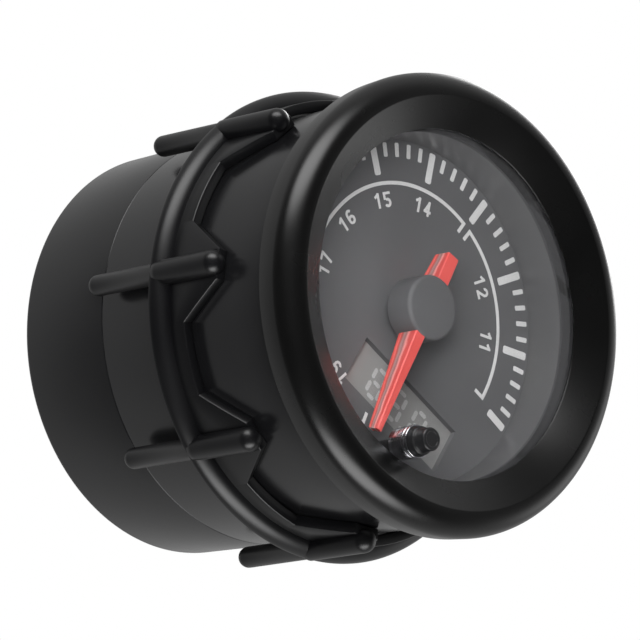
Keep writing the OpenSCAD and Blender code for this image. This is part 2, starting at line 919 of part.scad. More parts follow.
module backlight_lamps() {
    color("#f4f1d8") facing() for (angle = lamp_angles)
        at_angle(angle, lamp_r) block(board_depth - lamp_h, board_depth, [lamp_w, lamp_len], [0, 0]);
}

// Boards

module board_outline(from, to) {
    difference() {
        disc(from, to, board_r);
        for (angle = post_angles) at_angle(angle, post_r)
            disc(from - over, to + over, screw_d / 2 + pin_gap);
        for (i = [0 : link_count() - 1]) block(from - over, to + over,
            (link_pin + 2 * close_gap) * [1, 1], link_pos(i));
    }
}

function link_count() = 8;
function link_y() = -(motor_drop + 3 * link_pitch);
function link_pos(i) = [(i - (link_count() - 1) / 2) * link_pitch, link_y()];

module main_board() {
    color(board_green) facing() difference() {
        board_outline(board_depth, board_back);
        disc(board_depth - over, board_back + over, shaft_d / 2 + loose_gap);
        for (pos = motor_pin_places()) translate(pos)
            disc(board_depth - over, board_back + over, motor_pin_d / 2 + close_gap);
    }
}

module main_board_screws() {
    color(steel) facing() for (angle = post_angles)
        at_angle(angle, post_r) front_screw(board_depth, board_t + screw_len);
}

module control_board() {
    color(board_green) facing() difference() {
        board_outline(control_depth, control_back);
        for (i = [0 : cap_screw_count - 1]) rotate(90 + i * 360 / cap_screw_count) {
            translate([cap_screw_r, 0, 0])
                disc(control_depth - over, control_back + over, pillar_d / 2 + loose_gap);
            block(control_depth - over, control_back + over, [pillar_d, pillar_d + 2 * loose_gap],
                [cap_screw_r + pillar_d / 2, 0]);
        }
        for (i = [0 : header_count() - 1]) block(control_depth - over, control_back + over,
            (header_pin + 2 * close_gap) * [1, 1], header_pos(i));
    }
}

module control_board_screws() {
    color(steel) facing() for (angle = post_angles)
        at_angle(angle, post_r) rear_screw(control_back, board_t + screw_len);
}

module link_blocks() {
    size = [link_count() * link_pitch, link_pitch * 5 / 4];
    color(gloss_black) facing() difference() {
        union() {
            block(board_back, board_back + link_block_h, size, [0, link_y()]);
            block(control_depth - link_block_h, control_depth, size, [0, link_y()]);
        }
        for (i = [0 : link_count() - 1]) block(board_back - over, control_depth + over,
            (link_pin + 2 * close_gap) * [1, 1], link_pos(i));
    }
}

module link_pins() {
    color(brass) facing() for (i = [0 : link_count() - 1])
        block(board_depth + close_gap, control_back, link_pin * [1, 1], link_pos(i));
}

module chips() {
    chip_x = motor_half_w + chip_side / 2;
    color(gloss_black) facing() {
        block(control_back, control_back + chip_h, chip_side * [1, 1],
            [0, (header_h + chip_side) / 2 + 2 * header_pitch]);
        for (side = [-1, 1]) block(control_back, control_back + chip_h,
            [chip_side / 2, chip_side * 3 / 4], [side * chip_x, chip_side / 2]);
        block(board_back, board_back + chip_h, [chip_side / 2, chip_side * 3 / 4], [-chip_x, chip_side]);
    }
}

module capacitors() {
    x = motor_half_w + capacitor_d;
    color(steel) facing() for (pos = [[x, capacitor_d], [-x, capacitor_d], [-x, -capacitor_d / 2]])
        translate(pos) disc(control_depth - capacitor_len, control_depth, capacitor_d / 2);
}

function header_count() = 6;
function header_pos(i) = [(i - (header_count() - 1) / 2) * header_pitch, 0];

module connector_block() {
    socket_floor = can_len - over - socket_depth;
    color(gloss_black) facing() difference() {
        block(control_back, can_len - over, [header_w, header_h], [0, 0]);
        block(socket_floor, can_len, [header_w - 2 * header_wall, header_h - 2 * header_wall], [0, 0]);
        for (i = [0 : header_count() - 1]) block(control_back - over, can_len,
            (header_pin + 2 * close_gap) * [1, 1], header_pos(i));
    }
}

module connector_pins() {
    color(brass) facing() for (i = [0 : header_count() - 1])
        block(control_depth, can_len - 3 * over, header_pin * [1, 1], header_pos(i));
}

// Motor

module motor_outline(margin) {
    half_w = motor_half_w - margin;
    translate([-half_w, -motor_drop + margin])
        square([2 * half_w, motor_drop + rotor_y - 2 * margin]);
    translate([0, rotor_y]) circle(motor_dome_r - margin);
}

function axis_places() = [[0, middle_y], [0, rotor_y]];
function motor_pin_places() = [for (side = [-1, 1]) for (step = [0, 1])
    [side * (motor_half_w - 1.6 * motor_wall - 2 * step * link_pitch),
        -(motor_drop - 1.6 * motor_wall)]];

module motor_front() {
    color(black_plastic) facing() difference() {
        slab(motor_front_depth, motor_split) motor_outline(0);
        slab(motor_inner, motor_split + over) motor_outline(motor_wall);
        disc(motor_front_depth - over, motor_inner + over, shaft_d / 2 + running_gap);
        for (pos = axis_places()) translate(pos)
            disc(motor_inner - pivot_depth, motor_inner + over, arbor_d / 2 + running_gap);
        for (pos = motor_pin_places()) translate(pos)
            disc(motor_front_depth - over, motor_inner + over, motor_pin_d / 2 + close_gap);
    }
}

module motor_back() {
    color(black_plastic) facing() difference() {
        slab(motor_split, motor_rear_depth) motor_outline(0);
        disc(motor_split - over, motor_split + pivot_depth, shaft_d / 2 + running_gap);
        for (pos = axis_places()) translate(pos)
            disc(motor_split - over, motor_split + pivot_depth, arbor_d / 2 + running_gap);
    }
}

module stator() {
    foot_y = -(motor_drop - motor_wall - loose_gap);
    yoke_y = rotor_y - motor_wall - loose_gap - leg_w;
    color(steel) facing() slab(stator_front, stator_front + stator_t) difference() {
        union() {
            translate([0, rotor_y]) circle(pole_ring_r);
            for (side = [-1, 1]) translate([side * leg_x - leg_w / 2, foot_y])
                square([leg_w, yoke_y + leg_w - foot_y]);
            translate([-leg_x, yoke_y]) square([2 * leg_x, leg_w]);
            translate([-leg_x, foot_y]) square([2 * leg_x, leg_w]);
        }
        translate([0, rotor_y]) circle(rotor_space_r);
    }
}

module coils() {
    coil_len = motor_drop - 2 * leg_w;
    middle = stator_front + stator_t / 2;
    color(copper) facing() for (side = [-1, 1])
        difference() {
            block(middle - coil_depth / 2, middle + coil_depth / 2,
                [coil_w, coil_len], [side * leg_x, -coil_len / 2 + leg_w / 2]);
            block(stator_front - close_gap, stator_front + stator_t + close_gap,
                [leg_w + 2 * close_gap, coil_len + 2 * leg_w],
                [side * leg_x, -coil_len / 2 + leg_w / 2]);
        }
}

module motor_pins() {
    color(brass) facing() for (pos = motor_pin_places()) translate(pos)
        disc(board_depth + close_gap, stator_front - 2 * loose_gap, motor_pin_d / 2);
}

module wheel_pose(turns) {
    rotate(turns * pointer_deg) children();
}

module rotor_magnet() {
    color(steel) facing() translate([0, rotor_y, 0])
        tube(magnet_front, magnet_back, magnet_d / 2, arbor_d / 2 + close_gap);
}

module rotor_pinion() {
    color(white_plastic) facing() translate([0, rotor_y, 0]) wheel_pose(pow(gear_ratio, 2)) {
        slab(fine_front - fine_module, fine_back + fine_module / 2)
            toothed(fine_module, pinion_teeth);
        disc(motor_inner - pivot_depth + running_gap, motor_split + pivot_depth - running_gap,
            arbor_d / 2);
    }
}

module middle_wheel() {
    color(white_plastic) facing() translate([0, middle_y, 0]) wheel_pose(-gear_ratio) {
        slab(fine_front, fine_back) toothed(fine_module, wheel_teeth);
        slab(output_front - close_gap, fine_front) toothed(coarse_module, pinion_teeth);
        disc(motor_inner - pivot_depth + running_gap, motor_split + pivot_depth - running_gap,
            arbor_d / 2);
    }
}

module output_wheel() {
    color(white_plastic) facing() wheel_pose(1) {
        slab(output_front, output_back) toothed(coarse_module, wheel_teeth);
        disc(boss_top + hub_wall, motor_split + pivot_depth - running_gap, shaft_d / 2);
    }
}

// Pointer, drawn along +X and then turned

module pointer_pose() {
    facing() rotate(90 + pointer_deg) children();
}

module pointer_side(inset) {
    under = pointer_top + pointer_t - inset;
    polygon([
        [-tail_len, -pointer_top],
        [pointer_len, -pointer_top],
        [pointer_len - tip_t / 4, -(pointer_top + tip_t - inset)],
        [hub_r, -under],
        [-hub_r, -under],
        [-tail_len, -(pointer_top + tail_t - inset)]]);
}

module pointer_plan() {
    polygon([
        [-tail_len, -pointer_w / 2],
        [0, -pointer_w / 2],
        [pointer_len, -tip_w / 2],
        [pointer_len, tip_w / 2],
        [0, pointer_w / 2],
        [-tail_len, pointer_w / 2]]);
}

module pointer_blade() {
    color(red_plastic) pointer_pose() difference() {
        union() {
            intersection() {
                slab(pointer_top - over, hub_back + over) pointer_plan();
                rotate([90, 0, 0]) linear_extrude(2 * pointer_w, center = true)
                    pointer_side(foil_t + close_gap);
            }
            disc(boss_top, hub_back - loose_gap, boss_r);
        }
        disc(pointer_top - over, boss_top, hub_r - hub_wall);
        disc(boss_top + hub_wall - close_gap, hub_back + over, shaft_d / 2 + close_gap);
    }
}

module pointer_foil() {
    color("#ff2a24") pointer_pose() intersection() {
        slab(pointer_top - over, hub_back + over) difference() {
            offset_plan();
            circle(boss_r + pin_gap);
        }
        rotate([90, 0, 0]) linear_extrude(2 * pointer_w, center = true) difference() {
            pointer_side(0);
            pointer_side(foil_t);
            translate([-tail_len - over, -(pointer_top + tip_t / 2)])
                square([tail_len + pointer_len + 2 * over, tip_t]);
        }
    }
}

module offset_plan() {
    polygon([
        [-tail_len, -pointer_w / 3],
        [0, -pointer_w / 3],
        [pointer_len, -tip_w / 3],
        [pointer_len, tip_w / 3],
        [0, pointer_w / 3],
        [-tail_len, pointer_w / 3]]);
}

module hub_cap() {
    slot_w = pointer_w + 2 * loose_gap;
    color("#4a4a4c") pointer_pose() difference() {
        union() {
            disc(hub_top + hub_round, hub_back, hub_r);
            rounded_top(hub_top, hub_back, hub_r, hub_round);
        }
        disc(hub_top + hub_wall, hub_back + over, hub_r - hub_wall);
        block(pointer_top - close_gap, hub_back + over, [2 * hub_d, slot_w], [0, 0]);
    }
}

// Button

module button_cap() {
    color(gloss_black) facing() translate(button_pos) difference() {
        union() {
            disc(button_front + button_round, button_end, button_tip_d / 2);
            rounded_top(button_front, button_end, button_tip_d / 2, button_round);
            disc(button_front + button_tip_len, button_end, button_d / 2);
        }
        disc(button_front + button_tip_len, button_end + over, stem_d / 2 + close_gap);
    }
}

module button_stem() {
    color(white_plastic) facing() translate(button_pos) {
        disc(button_front + button_tip_len + close_gap, stem_end, stem_d / 2);
        disc(stem_end - stem_flange_t, stem_end, plunger_d / 2);
    }
}

module button_collar() {
    ridge = collar_h / 4;
    color(chrome) facing() translate(button_pos) difference() {
        union() {
            disc(lens_front - collar_h, collar_end, collar_tube_r);
            disc(lens_front - collar_h, lens_front - 2 * ridge, collar_d / 2);
            disc(lens_front - ridge, lens_front, collar_d / 2);
        }
        disc(lens_front - collar_h - over, collar_end + over, collar_bore_r);
    }
}

module switch_case() {
    color(gloss_black) facing() translate(button_pos) difference() {
        block(switch_front, board_depth, switch_side * [1, 1], [0, 0]);
        disc(switch_front - over, board_depth - 2 * loose_gap, plunger_d / 2 + running_gap);
    }
}

module switch_plunger() {
    color(white_plastic) facing() translate(button_pos)
        disc(stem_end, board_depth - 3 * loose_gap - button_travel, plunger_d / 2);
}

// Clamp ring

module clamp_ring() {
    color(black_plastic) facing() {
        difference() {
            union() {
                tube(peak_depth, flange_depth, crown_r, ring_bore_r);
                rotate_extrude() intersection() {
                    union() {
                        translate([flange_r - flange_round, -flange_depth]) circle(flange_round);
                        translate([ring_bore_r, -flange_depth])
                            square([flange_w - flange_round, flange_round]);
                    }
                    translate([ring_bore_r, -flange_depth]) square([flange_w + over, 2 * flange_round]);
                }
            }
            for (i = [0 : rod_count - 1])
                rotate(90 + rod_deg + (i + half_share) * 360 / rod_count) crown_gap();
        }
        for (i = [0 : rod_count - 1]) at_angle(90 + rod_deg + i * 360 / rod_count, rod_pitch_r) {
            capsule(rod_front, flange_depth - rod_d / 2, front_rod_r);
            capsule(flange_depth - 2 * rod_d, rod_rear, rear_rod_r);
        }
    }
}

// Cutter between two rods, drawn along +X
module crown_gap() {
    slope = (gap_w - valley_w) / (valley_depth - peak_depth);
    front_w = gap_w + slope * over;
    rotate([90, 0, 90]) linear_extrude(can_d) polygon([
        [-front_w / 2, -(peak_depth - over)],
        [front_w / 2, -(peak_depth - over)],
        [valley_w / 2, -valley_depth],
        [-valley_w / 2, -valley_depth]]);
}

// Output

can_housing();
rear_cap();
cap_screws();
bezel_ring();
lens();
lens_gasket();
funnel_ring();
dial_plate();
scale_marks();
zone_lines();
numerals();
light_guide();
backlight_lamps();
display_glass();
display_segments();
display_backlight();
display_strip();
main_board();
main_board_screws();
motor_front();
motor_back();
stator();
coils();
motor_pins();
rotor_magnet();
rotor_pinion();
middle_wheel();
output_wheel();
pointer_blade();
pointer_foil();
hub_cap();
button_cap();
button_stem();
button_collar();
switch_case();
switch_plunger();
control_board();
control_board_screws();
link_blocks();
link_pins();
chips();
capacitors();
connector_block();
connector_pins();
clamp_ring();
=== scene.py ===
import math

import bmesh
import bpy
from mathutils import Matrix, Vector


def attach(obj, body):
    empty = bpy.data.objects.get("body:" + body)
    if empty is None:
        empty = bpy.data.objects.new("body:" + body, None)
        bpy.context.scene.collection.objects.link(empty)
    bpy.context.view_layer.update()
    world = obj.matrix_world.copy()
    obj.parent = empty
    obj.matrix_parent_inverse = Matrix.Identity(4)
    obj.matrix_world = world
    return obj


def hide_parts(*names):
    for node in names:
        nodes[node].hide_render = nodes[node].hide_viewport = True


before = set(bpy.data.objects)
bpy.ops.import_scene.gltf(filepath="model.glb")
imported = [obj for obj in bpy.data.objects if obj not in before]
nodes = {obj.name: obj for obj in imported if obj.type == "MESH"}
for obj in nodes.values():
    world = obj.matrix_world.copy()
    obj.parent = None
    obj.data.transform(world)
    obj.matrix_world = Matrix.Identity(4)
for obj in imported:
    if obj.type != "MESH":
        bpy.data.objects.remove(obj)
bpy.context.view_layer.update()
mm = 0.001
weldDistance = 1e-7

# Sizes of pieces are in millimetres. Depths run back from the front edge of the can's land.


def linearChannel(value):
    if value <= 0.04045:
        return value / 12.92
    return ((value + 0.055) / 1.055) ** 2.4


def colour(hexText):
    text = hexText.lstrip("#")
    channels = [int(text[i:i + 2], 16) / 255 for i in (0, 2, 4)]
    return tuple(linearChannel(c) for c in channels) + (1.0,)


def place(x, z, depth):
    return Vector((x * mm, depth * mm, z * mm))


def onCircle(radius, degrees):
    angle = math.radians(degrees)
    return -radius * math.sin(angle), radius * math.cos(angle)


def finishMesh(bm, name, smoothDegrees=40):
    bmesh.ops.recalc_face_normals(bm, faces=bm.faces)
    limit = math.radians(smoothDegrees)
    for face in bm.faces:
        face.smooth = True
    for edge in bm.edges:
        if len(edge.link_faces) == 2:
            edge.smooth = edge.calc_face_angle(0) < limit
    mesh = bpy.data.meshes.new(name)
    bm.to_mesh(mesh)
    bm.free()
    piece = bpy.data.objects.new(name, mesh)
    bpy.context.scene.collection.objects.link(piece)
    return piece


# Rounds a closed section whose corners are (radius, depth, rounding)
def rounded(corners, steps=6):
    points = []
    count = len(corners)
    for i, (r, d, radius) in enumerate(corners):
        here = Vector((r, d))
        before = Vector(corners[i - 1][:2])
        after = Vector(corners[(i + 1) % count][:2])
        if radius <= 0:
            points.append(here)
            continue
        toBefore = (before - here).normalized()
        toAfter = (after - here).normalized()
        half = math.acos(max(-1, min(1, toBefore.dot(toAfter)))) / 2
        reach = radius / math.tan(half)
        middle = here + (toBefore + toAfter).normalized() * radius / math.sin(half)
        start = here + toBefore * reach - middle
        end = here + toAfter * reach - middle
        sweep = start.angle_signed(end)
        for k in range(steps + 1):
            turn = -sweep * k / steps
            c, s = math.cos(turn), math.sin(turn)
            points.append(middle + Vector((start.x * c - start.y * s, start.x * s + start.y * c)))
    return points


# Quarter of a circle as (sideways, lengthways) pairs, from fromDegrees up
def quarter(radius, steps, fromDegrees=0):
    turns = [math.radians(90 * k / steps + fromDegrees) for k in range(steps + 1)]
    return [(radius * math.cos(turn), radius * math.sin(turn)) for turn in turns]


def spun(name, profile, steps=192, smoothDegrees=40, centre=(0, 0), closed=True):
    bm = bmesh.new()
    verts = [bm.verts.new((p[0] * mm, p[1] * mm, 0)) for p in profile]
    following = verts[1:] + verts[:1] if closed else verts[1:]
    edges = [bm.edges.new(pair) for pair in zip(verts, following)]
    bmesh.ops.spin(bm, geom=verts + edges, cent=(0, 0, 0), axis=(0, 1, 0),
                   angle=2 * math.pi, steps=steps, use_merge=True, use_duplicate=False)
    bmesh.ops.remove_doubles(bm, verts=bm.verts, dist=weldDistance)
    bmesh.ops.translate(bm, verts=bm.verts, vec=place(centre[0], centre[1], 0))
    return finishMesh(bm, name, smoothDegrees)


# Walls between rows of points that each close on themselves
def wallRows(bm, rows, closed):
    following = rows[1:] + rows[:1] if closed else rows[1:]
    for a, b in zip(rows, following):
        for i in range(len(a)):
            j = (i + 1) % len(a)
            bm.faces.new((a[i], a[j], b[j], b[i]))


def show(piece, body, material, slotName, *cadNodes):
    piece.data.materials.append(material)
    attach(piece, body)
    if cadNodes:
        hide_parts(*cadNodes)
    return piece


# Materials


def newMaterial(name):
    material = bpy.data.materials.new(name)
    material.use_nodes = True
    material.node_tree.nodes.clear()
    return material


def addNode(owner, kind, values=None, links=None, **settings):
    node = owner.node_tree.nodes.new(kind)
    for key, value in settings.items():
        setattr(node, key, value)
    for key, value in (values or {}).items():
        node.inputs[key].default_value = value
    for key, socket in (links or {}).items():
        owner.node_tree.links.new(socket, node.inputs[key])
    return node


def ramp(owner, factor, stops):
    node = addNode(owner, "ShaderNodeValToRGB", links={"Fac": factor})
    elements = node.color_ramp.elements
    while len(elements) < len(stops):
        elements.new(0.5)
    for element, (position, tone) in zip(elements, stops):
        element.position = position
        element.color = tone
    return node.outputs["Color"]


def noise(owner, size, detail):
    around = addNode(owner, "ShaderNodeTexCoord").outputs["Object"]
    return addNode(owner, "ShaderNodeTexNoise", {"Scale": 1 / (size * mm), "Detail": detail},
                   {"Vector": around}).outputs["Fac"]


def setSurface(owner, shader):
    addNode(owner, "ShaderNodeOutputMaterial", links={"Surface": shader})


# Broad drift between two tones and in the gloss, with a fine grain in relief
moulded = {"driftSize": 9.0, "driftDetail": 4.0, "grainDetail": 2.0, "relief": 0.35, "ior": 1.5}


def grainy(name, base, other, roughness, spread=0.06, grain=0.25, depth=0.02, metallic=0.0):
    material = newMaterial(name)
    broad = noise(material, moulded["driftSize"], moulded["driftDetail"])
    fine = noise(material, grain, moulded["grainDetail"])
    tint = ramp(material, broad, [(0.3, colour(base)), (0.7, colour(other))])
    rough = addNode(material, "ShaderNodeMapRange",
                    {"To Min": roughness - spread, "To Max": roughness + spread},
                    {"Value": broad}).outputs["Result"]
    bump = addNode(material, "ShaderNodeBump",
                   {"Strength": moulded["relief"], "Distance": depth * mm},
                   {"Height": fine}).outputs["Normal"]
    shader = addNode(material, "ShaderNodeBsdfPrincipled",
                     {"Metallic": metallic, "IOR": moulded["ior"]},
                     {"Base Color": tint, "Roughness": rough, "Normal": bump})
    setSurface(material, shader.outputs["BSDF"])
    return material


canPlastic = grainy("canPlastic", "#0c0c0d", "#0f0f10", 0.22, grain=0.5, depth=0.005)
ringPlastic = grainy("ringPlastic", "#060607", "#09090a", 0.34, grain=0.5, depth=0.006)
bezelPaint = grainy("bezelPaint", "#040404", "#060606", 0.27, spread=0.02, grain=0.35, depth=0.005)
funnelPlastic = grainy("funnelPlastic", "#545456", "#585859", 0.34, spread=0.03, depth=0.004)
innerPlastic = grainy("innerPlastic", "#151516", "#1d1d1e", 0.45)
buttonPlastic = grainy("buttonPlastic", "#121213", "#161617", 0.34, spread=0.03, depth=0.004)
hubPlastic = grainy("hubPlastic", "#5a5a5c", "#5e5e60", 0.5, grain=0.2, depth=0.006)
dialPrint = grainy("dialPrint", "#626264", "#666668", 0.5, spread=0.04, grain=0.15, depth=0.004)
whitePrint = grainy("whitePrint", "#dcdcdc", "#e4e4e4", 0.5, grain=0.1, depth=0.003)
whitePlastic = grainy("whitePlastic", "#d8d8d4", "#e2e2de", 0.4)
gasketRubber = grainy("gasketRubber", "#39393b", "#3f3f41", 0.6)
lampResin = grainy("lampResin", "#efe9c8", "#f6f2dc", 0.3)
boardMask = grainy("boardMask", "#1b5236", "#235f40", 0.35)
guideAcrylic = grainy("guideAcrylic", "#dfe6ea", "#eaf0f2", 0.2)
displayFilm = grainy("displayFilm", "#8b8b8b", "#949493", 0.3, spread=0.04, depth=0.002)
segmentInk = grainy("segmentInk", "#b4b4b2", "#bababa", 0.35)
screwSteel = grainy("screwSteel", "#8f9196", "#a5a7ab", 0.32, metallic=1.0)
magnetFerrite = grainy("magnetFerrite", "#2c2c2f", "#3a3a3d", 0.4, metallic=0.6)
coilCopper = grainy("coilCopper", "#a5542a", "#b96636", 0.3, metallic=1.0)
contactBrass = grainy("contactBrass", "#b8954a", "#cbaa5c", 0.28, metallic=1.0)
capacitorAluminium = grainy("capacitorAluminium", "#b4b5b8", "#c4c5c8", 0.3, metallic=1.0)
collarChrome = grainy("collarChrome", "#cfcfd4", "#dadade", 0.2, spread=0.02, depth=0.001,
                      metallic=1.0)

window = {"tint": "#f4f4f4", "sheen": "#ffffff", "ior": 1.49, "roughness": (0.015, 0.04),
          "hazeSize": 14.0, "hazeDetail": 3.0}


def clearWindow():
    material = newMaterial("windowAcrylic")
    haze = noise(material, window["hazeSize"], window["hazeDetail"])
    smooth, hazy = window["roughness"]
    rough = addNode(material, "ShaderNodeMapRange", {"To Min": smooth, "To Max": hazy},
                    {"Value": haze}).outputs["Result"]
    clear = addNode(material, "ShaderNodeBsdfTransparent", {"Color": colour(window["tint"])})
    sheen = addNode(material, "ShaderNodeBsdfGlossy", {"Color": colour(window["sheen"])},
                    {"Roughness": rough})
    # Only the faces towards the eye mirror, so the sheen isn't counted twice
    edge = addNode(material, "ShaderNodeFresnel", {"IOR": window["ior"]}).outputs["Fac"]
    back = addNode(material, "ShaderNodeNewGeometry").outputs["Backfacing"]
    front = addNode(material, "ShaderNodeMath", {0: 1.0}, {1: back}, operation="SUBTRACT")
    share = addNode(material, "ShaderNodeMath", links={0: edge, 1: front.outputs[0]},
                    operation="MULTIPLY")
    mix = addNode(material, "ShaderNodeMixShader", links={
        0: share.outputs[0], 1: clear.outputs["BSDF"], 2: sheen.outputs["BSDF"]})
    setSurface(material, mix.outputs["Shader"])
    return material


# Tones run from the blade's foot over its bevel to the top, red with painted highlights and
# painted light through the clear sides, and fade in from the hub outwards
bladeToneAndPaintedLight = {
    # Over the red, the bright pinks are painted highlights and the greys are painted light through
    # the clear sides
    "tones": [(0.0, "#c24a46"), (0.14, "#ee6f68"), (0.22, "#b9514d"), (0.34, "#a98785"),
              (0.45, "#9a6f6e"), (0.55, "#f09a94"), (0.66, "#cc5350"), (0.86, "#cf4e4a"),
              (1.0, "#dc605b")],
    "atHub": "#9a8c8c", "fade": 0.25, "drift": 0.16, "driftSize": 2.5, "driftDetail": 2.0,
    # glow is a painted glow, so the blade shines faintly by itself
    "roughness": 0.12, "ior": 1.49, "glow": 0.05}


def pointerAcrylic():
    material = newMaterial("pointerAcrylic")
    across = addNode(material, "ShaderNodeAttribute", attribute_name="across").outputs["Fac"]
    along = addNode(material, "ShaderNodeAttribute", attribute_name="along").outputs["Fac"]
    cloud = noise(material, bladeToneAndPaintedLight["driftSize"], bladeToneAndPaintedLight["driftDetail"])
    drift = addNode(material, "ShaderNodeMath", {1: bladeToneAndPaintedLight["drift"]}, {0: cloud},
                    operation="MULTIPLY")
    centred = addNode(material, "ShaderNodeMath", {1: -bladeToneAndPaintedLight["drift"] / 2},
                      {0: drift.outputs[0]}, operation="ADD")
    shifted = addNode(material, "ShaderNodeMath", links={0: across, 1: centred.outputs[0]},
                      operation="ADD")
    tone = ramp(material, shifted.outputs[0],
                [(position, colour(text)) for position, text in bladeToneAndPaintedLight["tones"]])
    fade = ramp(material, along,
                [(0.0, colour("#000000")), (bladeToneAndPaintedLight["fade"], colour("#ffffff"))])
    # The colour mix has its factor at 0, its two colours at 6 and 7, and its result at 2
    mixed = addNode(material, "ShaderNodeMix", {6: colour(bladeToneAndPaintedLight["atHub"])},
                    {0: fade, 7: tone}, data_type="RGBA").outputs[2]
    # The blade's tones also go into a faint emission, a painted glow
    shader = addNode(material, "ShaderNodeBsdfPrincipled",
                     {"Roughness": bladeToneAndPaintedLight["roughness"], "IOR": bladeToneAndPaintedLight["ior"],
                      "Emission Strength": bladeToneAndPaintedLight["glow"]},
                     {"Base Color": mixed, "Emission Color": mixed})
    setSurface(material, shader.outputs["BSDF"])
    return material


windowAcrylic = clearWindow()
pointerRed = pointerAcrylic()
print("materials made")

# Can, one turned shell with its neck, land, draft and seam

can = {"neckRadius": 25.6, "landRadius": 26.2, "landLength": 6.0, "seamRadius": 25.6,
       "seamDepth": 31.0, "boreRadius": 23.6, "dialBoreRadius": 24.6, "frontDepth": -2.88,
       "ledgeDepth": 5.34, "frontEdge": 0.1, "landFront": 0.02, "landEdge": 0.05,
       "seamEdge": 0.12, "seamGap": 0.02, "steps": 256}

seamFront = can["seamDepth"] - can["seamGap"]
canShell = spun("canShell", rounded([
    (can["dialBoreRadius"], can["frontDepth"], can["frontEdge"]),
    (can["neckRadius"], can["frontDepth"], can["frontEdge"]),
    (can["neckRadius"], 0.0, 0),
    (can["landRadius"], can["landFront"], can["landEdge"]),
    (can["landRadius"], can["landLength"], 0),
    (can["seamRadius"], seamFront, can["seamEdge"]),
    (can["boreRadius"], seamFront, 0),
    (can["boreRadius"], can["ledgeDepth"], 0),
    (can["dialBoreRadius"], can["ledgeDepth"], 0)]), steps=can["steps"])
show(canShell, "gauge", canPlastic, "can_black", "can_housing")

# Rear cap: turned wall with spigot, end plate with its well and screw holes

cap = {"rearRadius": 25.25, "length": 46.1, "endWall": 2.0, "rearEdge": 0.8,
       "spigotRadius": 23.54, "spigotWall": 1.4, "spigotFront": 28.0, "edge": 0.1,
       "wallRadius": 23.4, "shoulder": 1.4, "plateSeat": 0.6, "plateInset": 0.55, "lap": 0.1}
capScrew = {"circle": 20.3, "turns": (90, 210, 330), "pillarRadius": 3.0, "pillarFront": 28.06,
            "seatDepth": 31.0, "headWell": 2.1, "shankHole": 1.15, "steps": 64, "holeSteps": 48}
well = {"width": 20.0, "height": 11.0, "corner": 0.6, "floor": 37.1, "wall": 1.5,
        "sleeveCorner": 1.5, "sleeveEdge": 0.02, "floorLap": 0.4, "floorEdge": 0.05,
        "socketWidth": 15.9, "socketHeight": 7.1, "socketCorner": 0.2}

plateFront = cap["length"] - cap["endWall"]
spigotBore = cap["spigotRadius"] - cap["spigotWall"]
shoulderDepth = can["seamDepth"] + cap["shoulder"]
capWall = spun("capWall", rounded([
    (spigotBore, cap["spigotFront"], 0),
    (cap["spigotRadius"], cap["spigotFront"], cap["edge"]),
    (cap["spigotRadius"], can["seamDepth"], 0),
    (can["seamRadius"], can["seamDepth"], can["seamEdge"]),
    (cap["rearRadius"], cap["length"], cap["rearEdge"]),
    (cap["wallRadius"] - cap["plateSeat"], cap["length"], 0),
    (cap["wallRadius"] - cap["plateSeat"], plateFront, 0),
    (cap["wallRadius"], plateFront, 0),
    (cap["wallRadius"], shoulderDepth, 0),
    (spigotBore, shoulderDepth, 0)]), steps=can["steps"])
show(capWall, "gauge", canPlastic, "can_black", "rear_cap")

curveWeld = 2e-6  # the filled curve's seams lie this close


# Flat plate from outlines in the dial's plane, holes inside, with bevelled edges
def flatPiece(name, outlines, front, back, bevel):
    curve = bpy.data.curves.new(name, "CURVE")
    curve.dimensions = "2D"
    curve.fill_mode = "BOTH"
    curve.extrude = (back - front) / 2 * mm - bevel * mm
    curve.bevel_depth = bevel * mm
    curve.bevel_resolution = 2
    curve.offset = -bevel * mm
    for outline in outlines:
        spline = curve.splines.new("POLY")
        spline.points.add(len(outline) - 1)
        for point, (x, z) in zip(spline.points, outline):
            point.co = (x * mm, z * mm, 0, 1)
        spline.use_cyclic_u = True
    drawn = bpy.data.objects.new(name + "Drawn", curve)
    bpy.context.scene.collection.objects.link(drawn)
    bpy.context.view_layer.update()
    evaluated = drawn.evaluated_get(bpy.context.evaluated_depsgraph_get())
    mesh = bpy.data.meshes.new_from_object(evaluated)
    bpy.data.objects.remove(drawn)
    bm = bmesh.new()
    bm.from_mesh(mesh)
    bpy.data.meshes.remove(mesh)
    bmesh.ops.remove_doubles(bm, verts=bm.verts, dist=curveWeld)
    upright = Matrix.Rotation(math.radians(90), 4, "X")
    bmesh.ops.transform(bm, matrix=upright, verts=bm.verts)
    bmesh.ops.translate(bm, verts=bm.verts, vec=(0, (front + back) / 2 * mm, 0))
    return finishMesh(bm, name)


def ringOutline(radius, steps=192, centre=(0, 0)):
    return [(centre[0] + radius * math.cos(2 * math.pi * k / steps),
             centre[1] + radius * math.sin(2 * math.pi * k / steps)) for k in range(steps)]


def boxOutline(width, height, corner, steps=6):
    points = []
    for sx, sz, start in ((1, 1, 0), (-1, 1, 90), (-1, -1, 180), (1, -1, 270)):
        for k in range(steps + 1):
            angle = math.radians(start + 90 * k / steps)
            points.append((sx * (width / 2 - corner) + corner * math.cos(angle),
                           sz * (height / 2 - corner) + corner * math.sin(angle)))
    return points


